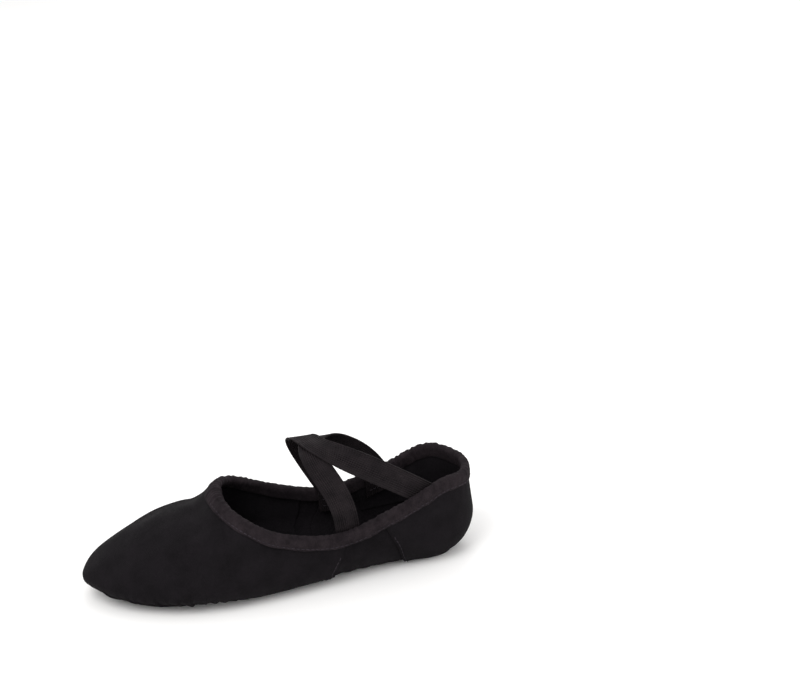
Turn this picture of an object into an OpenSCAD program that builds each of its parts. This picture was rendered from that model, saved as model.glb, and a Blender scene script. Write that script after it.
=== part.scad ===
// Soft split-sole ballet slipper for the left foot, in the shape it has on the foot.
// +X points to the toe, +Y to the outer side of the foot, +Z up. The sole stands on z = 0.

/* [Shape of the shoe] */
// Overall length, heel to toe
shoe_length = 240; // [230:1:250]
// Half of the width over the ball of the foot
ball_half = 44.5; // [41:0.5:46]
// Half of the width of the heel
heel_half = 29.4; // [27:0.2:31]
// How far the toe swings to the inner side
toe_swing = 12; // [6:0.5:13]
// Height of the opening at the back of the heel
heel_height = 52.5; // [50:1:58]
// Height of the opening at its lowest, beside the arch
side_height = 33.4; // [30:0.2:35]
// Height of the instep where the opening ends
throat_height = 59; // [56:0.5:61]
// Where the opening ends towards the toe
throat_x = 34.5; // [30:0.5:38]

/* [Cloth] */
// Thickness of the stretch canvas
canvas = 0.9; // [0.7:0.05:0.95]
// Thickness of the cotton lining
cotton = 0.5; // [0.3:0.05:0.5]
// Height of the binding on the canvas
binding_height = 6; // [5:0.5:7]
// Width of the lap where one panel lies over another
lap = 6; // [4:0.5:7]
// Radius of the sewing thread
thread_r = 0.3; // [0.2:0.05:0.35]

/* [Straps] */
// Width of the elastic straps
strap_width = 15; // [13:0.5:17]
// Thickness of the elastic
strap_thick = 0.9; // [0.7:0.1:1]
// Height of the straps where they cross
strap_crest = 82; // [78:1:88]
// Where the straps cross
strap_cross_x = -26; // [-30:1:-22]
// Where both straps would meet the sole in front
strap_front_x = -39; // [-42:1:-37]
// Where the over strap would meet the sole at the back, on the outer side
strap_back_outer_x = -108; // [-110:1:-104]
// Where the under strap would meet the sole at the back, on the inner side
strap_back_inner_x = -70; // [-74:1:-66]

/* [Soles] */
// Thickness of the suede patches
suede = 1.2; // [1:0.1:1.2]
// Length and half width of the front patch
front_patch = [73, 29.5];
// Length and half width of the heel patch
heel_patch = [39, 17];
// Thickness of the foam pads
foam = 2.5; // [2:0.5:3]

/* [Hidden] */

black = [0.11, 0.105, 0.115];
charcoal = [0.16, 0.155, 0.16];
lining_grey = [0.2, 0.195, 0.205];

// The shoe's box is centred on the origin by this shift.
centre_shift = [0.8, 4.3];

// The toe and the heel are fans about two upright axes, joined by a straight middle.
half = shoe_length / 2;
heel_x = -84;
toe_x = 50;
middle = toe_x - heel_x;
toe_power = 1.95;
heel_power = 2.2;
// Roundness of the upper's cross-section along the sides
side_power = 1;

// Underside of the canvas, just above the suede
under = suede + 0.1;
// Height of the widest line of the shoe, by station: 0 back, 1 heel, 2 ball, 3 toe
wide_line = [[0, 26], [1, 25.5], [1.5, 18], [2, 14.2], [3, 15.4]];
// Height of the crest, which carries on up the foot behind the opening
crest_line = [[heel_x, 112], [-20, 84], [throat_x, throat_height], [toe_x, 49]];
// Height of the opening along the shoe
opening_line = [
  [-119, heel_height], [-100, heel_height + 1.9], [-70, 42.8], [-35, side_height], [0, 41],
  [throat_x - 6, throat_height - 3.2], [throat_x, throat_height]
];
// Edge of the vamp and front edge of the quarter, from the sole's middle up to the opening
vamp_edge = [
  [0, 21], [0.13, 8], [0.35, -24], [0.65, -28.5], [0.83, -32], [0.93, -35.4], [1, -38.5]
];
quarter_edge = [[0, heel_x], [0.25, -75], [0.5, -70.5], [0.75, -68], [0.88, -65.4], [1, -60.5]];

// Depths of the layers, measured inwards from the outer face
second = 1.0;
third = 2.2;
fourth = 2.8;
strap_depth = 4.45;

function clamp01(t) = max(0, min(1, t));
function ramp(t) = let (u = clamp01(t)) u * u * (3 - 2 * u);
function mix(a, b, t) = a + (b - a) * t;
function unit(v) = v / norm(v);

// Smooth curve through [x, value] points, flat at both ends
function slope(p, i) =
  (i == 0 || i == len(p) - 1) ? 0 : (p[i + 1][1] - p[i - 1][1]) / (p[i + 1][0] - p[i - 1][0]);
function curve(p, x) =
  let (
    last = len(p) - 1,
    at = max(p[0][0], min(p[last][0], x)),
    i = max([for (k = [0:last - 1]) if (at >= p[k][0]) k]),
    h = p[i + 1][0] - p[i][0],
    t = (at - p[i][0]) / h,
    t2 = t * t,
    t3 = t2 * t
  )
  (2 * t3 - 3 * t2 + 1) * p[i][1] + (t3 - 2 * t2 + t) * h * slope(p, i)
    + (3 * t2 - 2 * t3) * p[i + 1][1] + (t3 - t2) * h * slope(p, i + 1);

// Radius of a fan that blends a side radius into an end radius
function fan(psi, side_r, end_r, power) =
  pow(pow(cos(psi) / side_r, power) + pow(sin(psi) / end_r, power), -1 / power);

// Half width of the straight middle; side is 1 for outer and -1 for inner
function half_width(t, side) =
  mix(heel_half, ball_half, ramp(t)) - (side > 0 ? 1 : 3) * pow(sin(180 * t), 2);

function station_x(q) = mix(heel_x, toe_x, clamp01(abs(q) - 1));
function station(x) = 1 + (x - heel_x) / middle;

// Point of the shoe's skin. Station q runs 0 to 1 round the heel, 1 to 2 along the middle and
// 2 to 3 round the toe; a negative q is on the other side. a runs -90 under the foot to 90 on
// the crest. depth is measured inwards.
function skin(q, a, side, depth = 0) =
  let (
    s = q < 0 ? -side : side,
    p = abs(q),
    psi = p < 1 ? 90 * (1 - p) : p > 2 ? 90 * (p - 2) : 0,
    r = p < 1 ? fan(psi, heel_half, half + heel_x, heel_power)
      : p > 2 ? fan(psi, ball_half, half - toe_x, toe_power)
      : half_width(p - 1, s),
    wide = curve(wide_line, p),
    crest = curve(crest_line, station_x(p)),
    tip = p > 2 ? pow(sin(psi), 2) : 0,
    c = max(0, cos(a)),
    h = abs(sin(a)),
    reach = (r - depth) * pow(c, a >= 0 ? mix(0.95, 1.37, tip) : mix(0.88, 0.6, ramp(p - 1))),
    z = a >= 0
      ? wide + (crest - depth - wide) * pow(h, mix(side_power, 1.55, tip))
      : wide - (wide - under - depth) * min(1, 1.2 * pow(h, 0.95)),
    x = station_x(p) + (p < 1 ? -1 : 1) * sin(psi) * reach
  )
  [x + centre_shift[0], s * cos(psi) * reach - toe_swing * ramp(x / half) + centre_shift[1], z];

// Angle at which the skin reaches height z at station q
function angle_at(q, z) =
  let (wide = curve(wide_line, abs(q)), crest = curve(crest_line, station_x(q)))
  asin(pow(clamp01((z - wide) / (crest - wide)), 1 / side_power));
function opening_z(q, side) = curve(opening_line, skin(q, 0, side)[0] - centre_shift[0]);
throat_q = station(throat_x);
function top_angle(q, side) = abs(q) >= throat_q ? 90 : angle_at(q, opening_z(q, side));
// Angle a share u of the way from the sole's middle up to the edge
function climb(u, q, side) = mix(-90, top_angle(q, side), u);

// Closed shell between two grids of points. Rows from zip on have no side walls, and a zipped
// end has none either, because there the grid meets itself.
module shell(outer, inner, zip = 1e6, zip_end = false) {
  rows = len(outer);
  cols = len(outer[0]);
  n = rows * cols;
  pts = concat([for (r = outer) each r], [for (r = inner) each r]);
  quads = concat(
    [for (i = [0:rows - 2], j = [0:cols - 2])
      [i * cols + j, i * cols + j + 1, (i + 1) * cols + j + 1, (i + 1) * cols + j]],
    [for (i = [0:rows - 2], j = [0:cols - 2])
      [n + (i + 1) * cols + j + 1, n + i * cols + j + 1, n + i * cols + j, n + (i + 1) * cols + j]],
    [for (j = [0:cols - 2]) [j + 1, j, n + j, n + j + 1]],
    zip_end ? [] : [for (j = [0:cols - 2])
      [(rows - 1) * cols + j, (rows - 1) * cols + j + 1,
       n + (rows - 1) * cols + j + 1, n + (rows - 1) * cols + j]],
    [for (i = [0:rows - 2]) if (i < zip)
      [i * cols, (i + 1) * cols, n + (i + 1) * cols, n + i * cols]],
    [for (i = [0:rows - 2]) if (i < zip)
      [(i + 1) * cols + cols - 1, i * cols + cols - 1,
       n + i * cols + cols - 1, n + (i + 1) * cols + cols - 1]]
  );
  triangles = [for (f = quads) each [[f[0], f[2], f[1]], [f[0], f[3], f[2]]]];
  // Where the grid meets itself, a triangle can shrink to a line.
  polyhedron(pts, [for (t = triangles)
    if (min([for (k = [0:2]) norm(pts[t[k]] - pts[t[(k + 1) % 3]])]) > 1e-6) t]);
}

// Closed ring of equal cross-sections; sections is a list of loops of points
module ring(sections, open = false) {
  m = len(sections);
  k = len(sections[0]);
  sides = [for (i = [0:m - (open ? 2 : 1)], j = [0:k - 1]) each
    let (a = i * k + j, b = i * k + (j + 1) % k,
         c = ((i + 1) % m) * k + (j + 1) % k, d = ((i + 1) % m) * k + j)
    [[a, c, b], [a, d, c]]];
  caps = open ? [[for (j = [0:k - 1]) j], [for (j = [0:k - 1]) m * k - 1 - j]] : [];
  polyhedron([for (s = sections) each s], concat(sides, caps));
}

// Round thread along a list of points
module thread(path, r = thread_r, loop = false, sides = 5) {
  m = len(path);
  frames = [for (i = [0:m - 1])
    let (
      t = unit(path[loop ? (i + 1) % m : min(m - 1, i + 1)]
        - path[loop ? (i + m - 1) % m : max(0, i - 1)]),
      a = unit(cross(t, abs(t[2]) > 0.9 ? [1, 0, 0] : [0, 0, 1])),
      b = cross(t, a)
    )
    [for (j = [0:sides - 1]) path[i] + r * (cos(360 * j / sides) * a + sin(360 * j / sides) * b)]];
  ring(frames, open = !loop);
}

// Grid of the vamp or its lining: rows run from the vamp's edge to the throat, on to the ball
// and round the toe; columns run from the inner edge under the foot to the outer edge
vamp_rows = 12;
toe_rows = 11;
half_columns = 17;
function side_of(j) = j < 0 ? -1 : 1;
function share(j, n) = pow(abs(j) / n, 1.25);
function vamp_station(i, u) =
  i == 0 ? station(curve(vamp_edge, u))
  : i <= vamp_rows
    ? mix(station(curve(vamp_edge, u) + lap + 1), throat_q,
          1 - pow(1 - (i - 1) / (vamp_rows - 1), 2))
  : i == vamp_rows + 1 ? 2
  : 2 + (i - vamp_rows - 1) / toe_rows;
function vamp_grid(first, depth) =
  [for (i = [first:vamp_rows + 1 + toe_rows])
    [for (j = [-half_columns:half_columns])
      let (u = share(j, half_columns), q = vamp_station(i, u), s = side_of(j))
      skin(q, climb(u, q, s), s, depth)]];

module vamp() {
  color(black) shell(vamp_grid(0, 0), vamp_grid(0, canvas), vamp_rows, true);
}

module vamp_lining() {
  color(lining_grey)
    shell(vamp_grid(1, second), vamp_grid(1, second + cotton), vamp_rows - 1, true);
}

// Arch panel and inner quarter in one piece: round the heel on the inner side, then forward
// under the arch to the vamp. On the outer side it starts under the outer quarter.
heel_rows = 8;
arch_rows = 14;
arch_columns = 13;
function arch_back(u, s) = s > 0 && u > 0 ? station(curve(quarter_edge, u) - lap) : -0.1;
function arch_station(i, u, s) =
  let (back = arch_back(u, s), start = max(1, back))
  i <= heel_rows
    ? mix(back, start, i / heel_rows)
    : mix(start, station(curve(vamp_edge, u) + lap), (i - heel_rows) / arch_rows);
function arch_grid(depth) =
  [for (i = [0:heel_rows + arch_rows])
    [for (j = [-arch_columns:arch_columns])
      let (u = share(j, arch_columns), s = side_of(j), q = arch_station(i, u, s))
      skin(q, climb(u, q, s), s, depth)]];

module arch_panel() {
  color(black) shell(arch_grid(second), arch_grid(second + canvas - 0.1));
}

// Outer quarter: from just past the back seam to the side seam
quarter_rows = 14;
function quarter_grid(depth) =
  [for (i = [0:quarter_rows])
    [for (j = [0:arch_columns])
      let (
        u = share(j, arch_columns),
        q = mix(-0.06, station(curve(quarter_edge, u)), i / quarter_rows)
      )
      skin(q, climb(u, q, 1), 1, depth)]];

module lateral_quarter() {
  color(black) shell(quarter_grid(0), quarter_grid(canvas));
}

// Band of cotton round the inside of the heel
function band_grid(reach, low, drop, depth, rows, cols) =
  [for (i = [0:rows])
    [for (j = [0:cols])
      let (q = mix(-reach, reach, i / rows), top = angle_at(q, opening_z(q, 1) - drop))
      skin(q, mix(low, top, j / cols), 1, depth)]];

module heel_lining() {
  drop = binding_height + 1;
  color(lining_grey) shell(band_grid(1.22, -14, drop, third, 36, 8),
                           band_grid(1.22, -14, drop, third + 0.4, 36, 8));
}

module back_seam_tape() {
  drop = binding_height + 1.5;
  color(lining_grey) shell(band_grid(0.13, -10, drop, fourth, 4, 8),
                           band_grid(0.13, -10, drop, fourth + 0.4, 4, 8));
}

// Stations along the opening, from the heel's middle to the throat, close together at the throat
edge_heel_steps = 8;
edge_side_steps = 20;
half_edge = concat(
  [for (i = [0:edge_heel_steps - 1]) i / edge_heel_steps],
  [for (i = [0:edge_side_steps]) mix(1, throat_q, 1 - pow(1 - i / edge_side_steps, 2))]
);
edge_count = len(half_edge);
// [station, side] round the whole opening
edge_loop = concat(
  [for (q = half_edge) [q, 1]],
  [for (i = [1:edge_count - 2]) [half_edge[edge_count - 1 - i], -1]]
);
function edge_point(e, depth = 0) = skin(e[0], top_angle(e[0], e[1]), e[1], depth);
edge_path = [for (e = edge_loop) edge_point(e)];
// At each point of the opening: the way out of the cloth, the way down it, and the cloth's own
// slopes by station and by angle
edge_frames = [for (i = [0:len(edge_loop) - 1])
  let (
    m = len(edge_loop), e = edge_loop[i], q = e[0], a = top_angle(q, e[1]), s = e[1],
    by_q = (skin(q + 0.01, a, s) - skin(q - 0.01, a, s)) / 0.02,
    by_a = edge_path[i] - skin(q, a - 1, s),
    t = unit(edge_path[(i + 1) % m] - edge_path[(i + m - 1) % m]),
    normal = unit(cross(by_q, by_a)),
    out = normal * (normal * (edge_point(e, -1) - edge_path[i]) > 0 ? 1 : -1),
    down = unit(cross(out, t))
  )
  [out, down, by_q, by_a]];
// Point beside the edge: out of the cloth, and down along its curve when down is positive
function beside_edge(i, out, down) =
  let (
    f = edge_frames[i], e = edge_loop[i], d = max(0, down) * f[1],
    qq = f[2] * f[2], qa = f[2] * f[3], aa = f[3] * f[3], dq = f[2] * d, da = f[3] * d,
    det = qq * aa - qa * qa,
    on_cloth = skin(e[0] + (aa * dq - qa * da) / det,
                    min(90, top_angle(e[0], e[1]) + (qq * da - qa * dq) / det), e[1])
  )
  on_cloth + out * f[0] + min(0, down) * f[1];

// Binding: tape folded over the edge, as an upside-down U in [outward, downward] sizes
binding_section = [
  [1, binding_height], [1, binding_height / 2], [1, -1.3], [0.2, -2.5], [-2.6, -2.5],
  [-3.3, -1.3], [-3.3, binding_height / 2], [-3.3, binding_height], [-2.7, binding_height],
  [-2.7, binding_height / 2], [-2.7, -1], [-2.3, -1.8], [-0.1, -1.8], [0.35, -1],
  [0.35, binding_height / 2], [0.35, binding_height]
];
module binding() {
  color(charcoal)
    ring([for (i = [0:len(edge_loop) - 1]) [for (p = binding_section) beside_edge(i, p[0], p[1])]]);
}

// Drawn elastic cord that lies in the fold of the binding
module binding_elastic() {
  color(charcoal)
    thread([for (i = [0:len(edge_loop) - 1]) beside_edge(i, -1.2, -0.9)], 0.7, true, 6);
}

module binding_thread() {
  path = [for (i = [0:len(edge_loop) - 1]) beside_edge(i, 1.4, binding_height - 1)];
  color(charcoal) thread(path, thread_r, true);
}

// The straps lie over the foot on a tunnel that stands on the inside of the opening.
tunnel_base = 31;
tunnel_power = 2.7;
function tunnel_half(x, side) = let (q = station(x)) abs(
  skin(q, top_angle(q, side), side, strap_depth)[1] - centre_shift[1]);
// phi runs 0 on the outer side over 90 on the crest to 180 on the inner side
function tunnel(x, phi, out) =
  let (
    w = mix(tunnel_half(x, 1), tunnel_half(x, -1), ramp((phi - 60) / 60)) + out,
    rise = strap_crest + out * max(0, sin(phi)) - tunnel_base,
    c = cos(phi)
  )
  [x + centre_shift[0], sign(c) * w * pow(abs(c), 2 / tunnel_power) + centre_shift[1],
   tunnel_base + rise * pow(max(0, sin(phi)), 2 / tunnel_power)];
// Line of a strap over the tunnel: [outer root, inner root, how late it bows forward, how far it
// stands off the foot at the crossing]
under_line = [strap_front_x, strap_back_inner_x, 1.5, 0];
over_line = [strap_back_outer_x, strap_front_x, 0.85, strap_thick + 0.6];
function strap_x(phi, line) =
  mix(line[0], line[1], phi / 180)
    + (strap_cross_x - (line[0] + line[1]) / 2) * pow(max(0, sin(phi)), line[2]);
// Angle at which that line comes out of the opening, found in a few steps
strap_gap = 2.6;
function spring_angle(line, side, phi = 15, steps = 12) =
  steps == 0 ? phi : let (
    x = strap_x(side > 0 ? phi : 180 - phi, line),
    rise = opening_z(station(x), side) + strap_gap - tunnel_base
  )
  spring_angle(line, side,
    asin(pow(rise / (strap_crest - tunnel_base), tunnel_power / 2)), steps - 1);
strap_rows = 26;
strap_columns = 4;
function strap_middle(f, line) =
  let (phi = mix(spring_angle(line, 1), 180 - spring_angle(line, -1), f))
  [strap_x(phi, line), phi];
function strap_grid(line, out) =
  [for (i = [0:strap_rows])
    let (
      f = i / strap_rows,
      m = strap_middle(f, line),
      lift = out + line[3] * ramp(5 * min(f, 1 - f)),
      step = strap_middle(min(1, f + 0.01), line) - strap_middle(max(0, f - 0.01), line),
      dx = tunnel(m[0] + 0.5, m[1], lift) - tunnel(m[0] - 0.5, m[1], lift),
      dphi = tunnel(m[0], m[1] + 0.5, lift) - tunnel(m[0], m[1] - 0.5, lift),
      along = unit(step[0] * dx + step[1] * dphi),
      turn = -(dx * along) / (dphi * along),
      push = norm(dx + turn * dphi)
    )
    [for (j = [0:strap_columns])
      let (d = strap_width * (j / strap_columns - 0.5) / push)
      tunnel(m[0] + d, m[1] + turn * d, lift)]];

module strap(line) {
  color(charcoal) shell(strap_grid(line, -strap_thick / 2), strap_grid(line, strap_thick / 2));
}
module strap_under() { strap(under_line); }
module strap_over() { strap(over_line); }

// The ends of the straps, sewn inside the opening: [place along the shoe, side]
function spring_x(line, side) =
  let (phi = spring_angle(line, side)) strap_x(side > 0 ? phi : 180 - phi, line);
strap_ends = [for (side = [1, -1], line = [under_line, over_line]) [spring_x(line, side), side]];
function wall_point(x, side, drop, depth) =
  let (q = station(x)) skin(q, angle_at(q, opening_z(q, side) - drop), side, depth);
function tab_grid(end, depth) =
  [for (i = [0:4]) [for (j = [0:3])
    wall_point(end[0] + side_of(-end[1]) * strap_width * (i / 4 - 0.5), end[1], mix(13, 1.6, j / 3),
               depth)]];
module strap_tabs() {
  color(charcoal) for (end = strap_ends)
    shell(tab_grid(end, strap_depth + strap_thick / 2), tab_grid(end, strap_depth - strap_thick / 2));
}
module strap_tack_threads() {
  color(charcoal) for (end = strap_ends)
    thread([for (i = [-3:3])
      wall_point(end[0] + i * strap_width / 8, end[1], binding_height - 2, strap_depth + 0.9)]);
}

// Outline of a sole patch: an oval with a squarer back edge; inset draws it smaller
function patch_outline(middle_x, size, inset) =
  [for (i = [0:63])
    let (
      t = 360 * i / 64,
      power = cos(t) > 0 ? 2.1 : 2.7,
      x = middle_x + sign(cos(t)) * (size[0] / 2 - inset) * pow(abs(cos(t)), 2 / power),
      y = sign(sin(t)) * (size[1] - inset) * pow(abs(sin(t)), 2 / 2.2)
    )
    [x + centre_shift[0], y - toe_swing * ramp(x / half) + centre_shift[1]]];
front_patch_x = 64;
heel_patch_x = -86;
stitch_inset = 3.5;
stitch_width = 0.6;
module sole_patch(middle_x, size) {
  color(charcoal) difference() {
    linear_extrude(suede) polygon(patch_outline(middle_x, size, 0));
    translate([0, 0, -1]) linear_extrude(1.5) difference() {
      polygon(patch_outline(middle_x, size, stitch_inset - 0.2));
      polygon(patch_outline(middle_x, size, stitch_inset + stitch_width + 0.2));
    }
  }
}
module patch_thread(middle_x, size) {
  color(charcoal) translate([0, 0, 0.1]) linear_extrude(0.35) difference() {
    polygon(patch_outline(middle_x, size, stitch_inset));
    polygon(patch_outline(middle_x, size, stitch_inset + stitch_width));
  }
}
module front_sole_patch() { sole_patch(front_patch_x, front_patch); }
module heel_sole_patch() { sole_patch(heel_patch_x, heel_patch); }
module front_patch_thread() { patch_thread(front_patch_x, front_patch); }
module heel_patch_thread() { patch_thread(heel_patch_x, heel_patch); }

// Pads and socks follow the flat floor of the shoe, from one station to another
function floor_outline(from, to, depth) =
  let (qs = [for (i = [0:20]) mix(from, to, i / 20)], n = len(qs))
  concat(
    [for (q = qs) flat(skin(q, -62, 1, depth))],
    [for (i = [0:n - 1]) if (qs[n - 1 - i] != 0 && qs[n - 1 - i] != 3)
      flat(skin(qs[n - 1 - i], -62, -1, depth))]
  );
function flat(p) = [p[0], p[1]];
module floor_piece(from, to, depth, z, thick) {
  translate([0, 0, z]) linear_extrude(thick) polygon(floor_outline(from, to, depth));
}
front_floor = under + second + cotton + 0.1;
heel_floor = under + second + canvas;
pad_front_q = station(29);
pad_heel_q = station(-68);
module forefoot_pad() { color(lining_grey) floor_piece(pad_front_q, 3, 3, front_floor, foam); }
module front_sock() {
  color(lining_grey) floor_piece(pad_front_q, 3, 3.5, front_floor + foam + 0.05, 0.8);
}
module heel_pad() { color(lining_grey) floor_piece(0, pad_heel_q, 3.4, heel_floor, foam); }
module heel_sock() {
  color(lining_grey) floor_piece(0, pad_heel_q, 3.9, heel_floor + foam + 0.05, 0.8);
}

// Threads along the three seams, a little inside the edge of the upper layer
seam_steps = 16;
thread_out = -thread_r - 0.12;
module arch_seam_thread() {
  color(charcoal) thread([for (j = [-seam_steps:seam_steps])
    let (u = 0.93 * abs(j) / seam_steps, s = side_of(j), q = station(curve(vamp_edge, u) + 1.6))
    skin(q, climb(u, q, s), s, thread_out)]);
}
module side_seam_thread() {
  color(charcoal) thread([for (j = [6:seam_steps])
    let (u = 0.93 * j / seam_steps, q = station(curve(quarter_edge, u) - 1.6))
    skin(q, climb(u, q, 1), 1, thread_out)]);
}
module back_seam_thread() {
  color(charcoal) thread([for (j = [6:seam_steps])
    let (u = 0.9 * j / seam_steps) skin(-0.02, climb(u, 0.02, 1), 1, thread_out)]);
}

vamp();
vamp_lining();
arch_panel();
lateral_quarter();
heel_lining();
back_seam_tape();
binding();
binding_elastic();
binding_thread();
strap_under();
strap_over();
strap_tabs();
strap_tack_threads();
front_sole_patch();
heel_sole_patch();
front_patch_thread();
heel_patch_thread();
forefoot_pad();
heel_pad();
front_sock();
heel_sock();
arch_seam_thread();
side_seam_thread();
back_seam_thread();
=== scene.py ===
import bpy
import numpy as np
from mathutils import Matrix, Vector


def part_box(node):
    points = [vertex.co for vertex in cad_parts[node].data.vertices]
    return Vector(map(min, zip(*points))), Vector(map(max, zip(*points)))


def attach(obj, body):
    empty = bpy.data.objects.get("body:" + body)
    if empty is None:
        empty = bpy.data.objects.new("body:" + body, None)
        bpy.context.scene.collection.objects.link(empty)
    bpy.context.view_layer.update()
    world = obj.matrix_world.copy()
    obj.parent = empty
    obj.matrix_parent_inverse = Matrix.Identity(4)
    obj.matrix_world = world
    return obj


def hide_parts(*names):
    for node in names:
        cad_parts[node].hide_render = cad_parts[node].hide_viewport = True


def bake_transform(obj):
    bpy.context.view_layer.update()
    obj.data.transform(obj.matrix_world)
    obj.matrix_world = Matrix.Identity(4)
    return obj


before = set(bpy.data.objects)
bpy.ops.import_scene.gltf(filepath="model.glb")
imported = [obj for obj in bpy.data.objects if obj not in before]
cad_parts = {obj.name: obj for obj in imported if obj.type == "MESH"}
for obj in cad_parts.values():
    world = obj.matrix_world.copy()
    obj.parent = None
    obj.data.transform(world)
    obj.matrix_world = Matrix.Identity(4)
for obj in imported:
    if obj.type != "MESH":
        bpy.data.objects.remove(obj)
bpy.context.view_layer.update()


# ---- Vamp -------------------------------------------------------------------------------
# One piece of 0.9 mm cotton canvas with elastane, over the toes and round under the ball.
# It is cut flat, pulled over a last and pleated in round the toe, under the front patch.

vamp_high = np.array(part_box("vamp")[1]) * 1000
canvas_thick = 0.9
canvas_floor = 1.3
half_length = 120.0
heel_x, toe_x, throat_x = -84.0, 50.0, 34.5
middle_length = toe_x - heel_x   # between the axes that the heel and the toe fan round
heel_half, ball_half, toe_swing = 29.4, 44.5, 12.0
shoe_shift = np.array([vamp_high[0] - half_length, 4.3])

# Height of the widest line by station, of the crest along x, and of the opening along x
wide_line = [(0, 26), (1, 25.5), (1.5, 18), (2, 14.2), (3, 15.4)]
crest_line = [(heel_x, 112), (-20, 84), (throat_x, 59), (toe_x, 49)]
opening_line = [(-119, 52.5), (-100, 54.4), (-70, 42.8), (-35, 33.4), (0, 41),
                (throat_x - 6, 55.8), (throat_x, 59)]
# The vamp's edge, as x by share of the way from the sole's middle up to the opening
vamp_edge = [(0, 21), (0.13, 8), (0.35, -24), (0.65, -28.5), (0.83, -32), (0.93, -35.4),
             (1, -38.5)]
front_patch_x, front_patch_half = 64.0, (36.5, 29.5)


def ramp(t):
    """Smooth step: 3 t squared less 2 t cubed, with t held between 0 and 1."""
    t = np.clip(t, 0, 1)
    return t * t * (3 - 2 * t)


def curve(points, x):
    """Smooth line through points: cubic pieces whose slope at a point is that between its
    neighbours, and flat at both ends."""
    px, py = np.array(points, float).T
    m = np.zeros(len(px))
    m[1:-1] = (py[2:] - py[:-2]) / (px[2:] - px[:-2])
    x = np.clip(np.asarray(x, float), px[0], px[-1])
    i = np.clip(np.searchsorted(px, x, side="right") - 1, 0, len(px) - 2)
    h = px[i + 1] - px[i]
    t = (x - px[i]) / h
    return ((2 * t**3 - 3 * t**2 + 1) * py[i] + (t**3 - 2 * t**2 + t) * h * m[i]
            + (3 * t**2 - 2 * t**3) * py[i + 1] + (t**3 - t**2) * h * m[i + 1])


def station(x):
    """Station of a place along the shoe: 1 at the heel's axis, 2 at the toe's."""
    return 1 + (np.asarray(x, float) - heel_x) / middle_length


throat_q = float(station(throat_x))


def skin(q, a, side, depth=0.0):
    """Point of the shoe's skin. Stations 0 to 1 fan round the heel, 1 to 2 run along the
    middle, 2 to 3 fan round the toe; a negative one is on the other side. Each section is a
    super-ellipse: reach = radius times a power of cos a, height = a power of sin a."""
    q, a, side, depth = np.broadcast_arrays(*(np.asarray(v, float) for v in (q, a, side, depth)))
    side, p = np.where(q < 0, -side, side), np.abs(q)
    psi = np.where(p < 1, np.pi / 2 * (1 - p), np.where(p > 2, np.pi / 2 * (p - 2), 0))
    t = np.clip(p - 1, 0, 1)

    def fan(across, along, power):
        return ((np.cos(psi) / across)**power + (np.sin(psi) / along)**power)**(-1 / power)
    radius = np.where(
        p < 1, fan(heel_half, half_length + heel_x, 2.2),
        np.where(p > 2, fan(ball_half, half_length - toe_x, 1.95),
                 heel_half + (ball_half - heel_half) * ramp(t)
                 - np.where(side > 0, 1, 3) * np.sin(np.pi * t)**2))
    wide, crest = curve(wide_line, p), curve(crest_line, heel_x + middle_length * t)
    tip = np.where(p > 2, np.sin(psi)**2, 0)
    c = np.clip(np.cos(np.radians(a)), 1e-12, 1)
    c = np.where(np.abs(np.abs(a) - 90) < 1e-9, 0, c)
    h = np.maximum(np.abs(np.sin(np.radians(a))), 1e-12)
    reach = (radius - depth) * np.where(a >= 0, c**(0.95 + 0.42 * tip),
                                         c**(0.88 - 0.28 * ramp(t)))
    z = np.where(a >= 0, wide + (crest - depth - wide) * h**(1 + 0.55 * tip),
                 wide - (wide - canvas_floor - depth) * np.minimum(1, 1.2 * h**0.95))
    x = heel_x + middle_length * t + np.where(p < 1, -1, 1) * np.sin(psi) * reach
    y = side * np.cos(psi) * reach - toe_swing * ramp(x / half_length)
    return np.stack([x + shoe_shift[0], y + shoe_shift[1], z], -1)


def angle_at(q, z):
    """Angle at which the skin reaches height z."""
    wide = curve(wide_line, np.abs(q))
    crest = curve(crest_line, heel_x + middle_length * np.clip(np.abs(q) - 1, 0, 1))
    return np.degrees(np.arcsin(np.clip((z - wide) / (crest - wide), 0, 1)))


def opening_z(q, side):
    return curve(opening_line, skin(q, 0, side)[..., 0] - shoe_shift[0])


def top_angle(q, side):
    """Angle of the opening's edge, and 90 where the shoe is closed on top."""
    return np.where(np.abs(q) >= throat_q, 90, angle_at(q, opening_z(q, side)))


def along_rows(points):
    """Length run along each row of a grid from its first column."""
    steps = np.linalg.norm(np.diff(points, axis=1), axis=2)
    return np.concatenate([np.zeros((len(points), 1)), np.cumsum(steps, 1)], 1)


def outward(points):
    """Unit cross product of the grid's two slopes, facing away from the grid's middle."""
    n = np.cross(np.gradient(points, axis=0), np.gradient(points, axis=1))
    n /= np.maximum(np.linalg.norm(n, axis=2, keepdims=True), 1e-9)
    facing = ((points - points.mean((0, 1))) * n).sum()
    return n if facing > 0 else -n


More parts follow.
